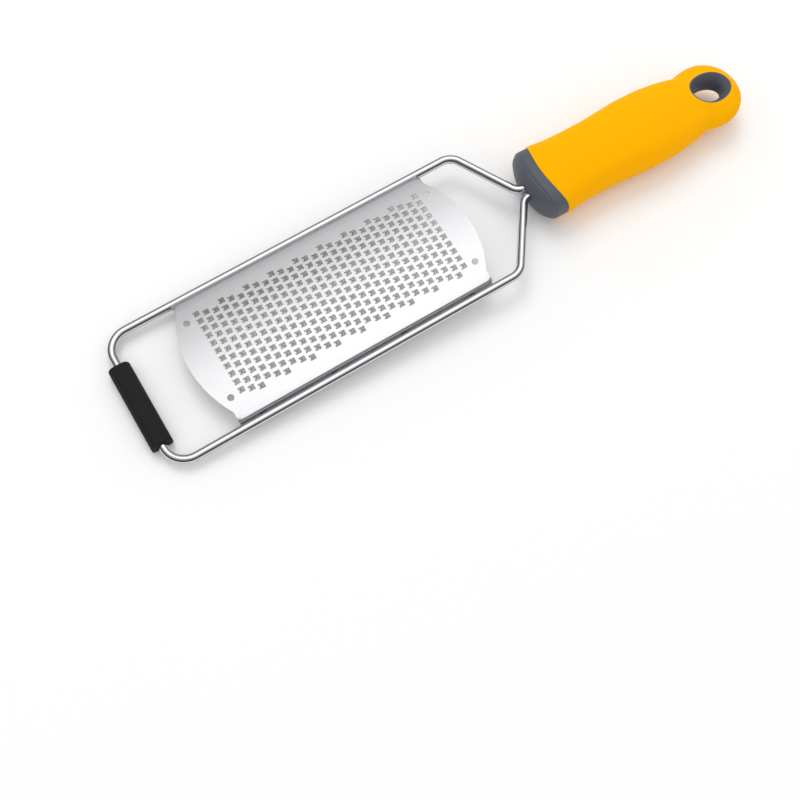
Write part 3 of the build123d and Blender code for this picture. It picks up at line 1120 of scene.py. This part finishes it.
def studio_world(world):
    """A studio with a broad white panel overhead that falls away to dark walls, so that polished
    rod shows dark stripes and the crowned sheet is brightest along its middle. Matt surfaces get
    an even light, and the camera sees plain white."""
    world.use_nodes = True
    tree = world.node_tree
    tree.nodes.clear()
    rays = add_node(tree, "ShaderNodeLightPath")
    heading = add_node(tree, "ShaderNodeTexCoord")
    nearness = add_node(
        tree, "ShaderNodeVectorMath",
        {0: heading.outputs["Generated"], 1: PANEL_HEADING.normalized()},
        operation="DOT_PRODUCT",
    )
    share = add_node(
        tree, "ShaderNodeMapRange", {"Value": nearness.outputs["Value"], "From Min": -1.0}
    )
    level = add_node(tree, "ShaderNodeValToRGB", {"Fac": share.outputs["Result"]})
    ramp = level.color_ramp
    ramp.elements.remove(ramp.elements[0])
    for number, (near, grey) in enumerate(STUDIO_SHARES):
        place = (near + 1) / 2
        element = ramp.elements.new(place) if number else ramp.elements[0]
        element.position = place
        element.color = (grey, grey, grey, 1)
    reflected = add_node(
        tree, "ShaderNodeBackground",
        {"Color": level.outputs["Color"], "Strength": PANEL_STRENGTH},
    )
    dome = add_node(
        tree, "ShaderNodeBackground", {"Color": (1, 1, 1, 1), "Strength": DOME_STRENGTH}
    )
    light = add_node(
        tree, "ShaderNodeMixShader",
        {0: rays.outputs["Is Glossy Ray"], 1: dome.outputs[0], 2: reflected.outputs[0]},
    )
    white = add_node(tree, "ShaderNodeBackground", {"Color": (1, 1, 1, 1), "Strength": 1.0})
    seen = add_node(
        tree, "ShaderNodeMixShader",
        {0: rays.outputs["Is Camera Ray"], 1: light.outputs[0], 2: white.outputs[0]},
    )
    add_node(tree, "ShaderNodeOutputWorld", {"Surface": seen.outputs[0]})


class GRATER_OT_stage(bpy.types.Operator):
    """Lay the floor, set the lights and aim the camera"""
    bl_idname = "grater.stage"
    bl_label = "Stage"

    def execute(self, context):
        stage = context.scene.grater_stage
        self.floor(stage)
        self.lights()
        self.camera(stage)
        context.scene.view_settings.view_transform = "Standard"
        return {"FINISHED"}

    def floor(self, stage):
        """A wide sheet of paper, a hair below the sleeve and the belly."""
        mesh = bpy.data.meshes.new("background_paper")
        signs = ((-1, -1), (1, -1), (1, 1), (-1, 1))
        level = TABLE_Z - PAPER_GAP
        corners = [(x * PAPER_HALF, y * PAPER_HALF, level) for x, y in signs]
        mesh.from_pydata(corners, [], [(0, 1, 2, 3)])
        mesh.materials.append(paper_floor(stage.paper))
        paper = bpy.data.objects.new("background_paper", mesh)
        bpy.context.scene.collection.objects.link(paper)

    def lights(self):
        """The studio's own even light, and one large softbox set back from the tool."""
        world = bpy.data.worlds.new("studio")
        bpy.context.scene.world = world
        studio_world(world)
        lamp = bpy.data.lights.new("key_softbox", "AREA")
        lamp.shape = "SQUARE"
        lamp.size = SOFTBOX_SIZE
        lamp.energy = SOFTBOX_POWER
        box = bpy.data.objects.new("key_softbox", lamp)
        box.location = SOFTBOX_PLACE
        box.rotation_euler = (-SOFTBOX_PLACE).to_track_quat("-Z", "Y").to_euler()
        box.visible_glossy = False
        bpy.context.scene.collection.objects.link(box)

    def camera(self, stage):
        """The camera of the photograph, set out from the plane of the rods."""
        azimuth, elevation = stage.azimuth, stage.elevation
        ahead = Vector((
            sin(azimuth) * cos(elevation), cos(azimuth) * cos(elevation), -sin(elevation)
        ))
        right = Vector((cos(azimuth), -sin(azimuth), 0))
        up = right.cross(ahead)
        target = Vector((stage.target_x, stage.target_y, 0))
        place = Matrix((right, up, -ahead)).transposed().to_4x4()
        place.translation = target - ahead * stage.distance
        camera = bpy.data.objects.new("camera", bpy.data.cameras.new("camera"))
        camera.data.angle = stage.field
        camera.data.clip_start = NEAREST
        camera.data.clip_end = FARTHEST
        camera.matrix_world = rod_plane() @ place
        bpy.context.scene.collection.objects.link(camera)
        bpy.context.scene.camera = camera


class GRATER_PT_panel(bpy.types.Panel):
    """Sizes and steps of the grater"""
    bl_label = "Grater"
    bl_idname = "GRATER_PT_panel"
    bl_space_type = "VIEW_3D"
    bl_region_type = "UI"
    bl_category = "Grater"

    def draw(self, context):
        for operators, group in STEPS:
            box = self.layout.box()
            for operator in operators:
                box.operator(operator.bl_idname)
            settings = getattr(context.scene, group)
            for name in settings.__annotations__:
                box.prop(settings, name)


STEPS = (
    ((GRATER_OT_rod_frame,), "grater_rod"),
    ((GRATER_OT_blade,), "grater_blade"),
    ((GRATER_OT_welds,), "grater_weld"),
    ((GRATER_OT_sleeve,), "grater_sleeve"),
    ((GRATER_OT_core, GRATER_OT_grip), "grater_handle"),
    ((GRATER_OT_stage,), "grater_stage"),
)
GROUPS = {
    "grater_rod": GraterRodSettings,
    "grater_blade": GraterBladeSettings,
    "grater_weld": GraterWeldSettings,
    "grater_sleeve": GraterSleeveSettings,
    "grater_handle": GraterHandleSettings,
    "grater_stage": GraterStageSettings,
}


def register():
    for name, group in GROUPS.items():
        bpy.utils.register_class(group)
        setattr(bpy.types.Scene, name, PointerProperty(type=group))
    for operators, _ in STEPS:
        for operator in operators:
            bpy.utils.register_class(operator)
    bpy.utils.register_class(GRATER_PT_panel)


def unregister():
    bpy.utils.unregister_class(GRATER_PT_panel)
    for operators, _ in reversed(STEPS):
        for operator in reversed(operators):
            bpy.utils.unregister_class(operator)
    for name, group in reversed(list(GROUPS.items())):
        delattr(bpy.types.Scene, name)
        bpy.utils.unregister_class(group)


def main():
    """Builds every piece and the stage."""
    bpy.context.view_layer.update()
    register()
    for operators, _ in STEPS:
        for operator in operators:
            group, name = operator.bl_idname.split(".")
            getattr(getattr(bpy.ops, group), name)()


if __name__ == "__main__":
    main()
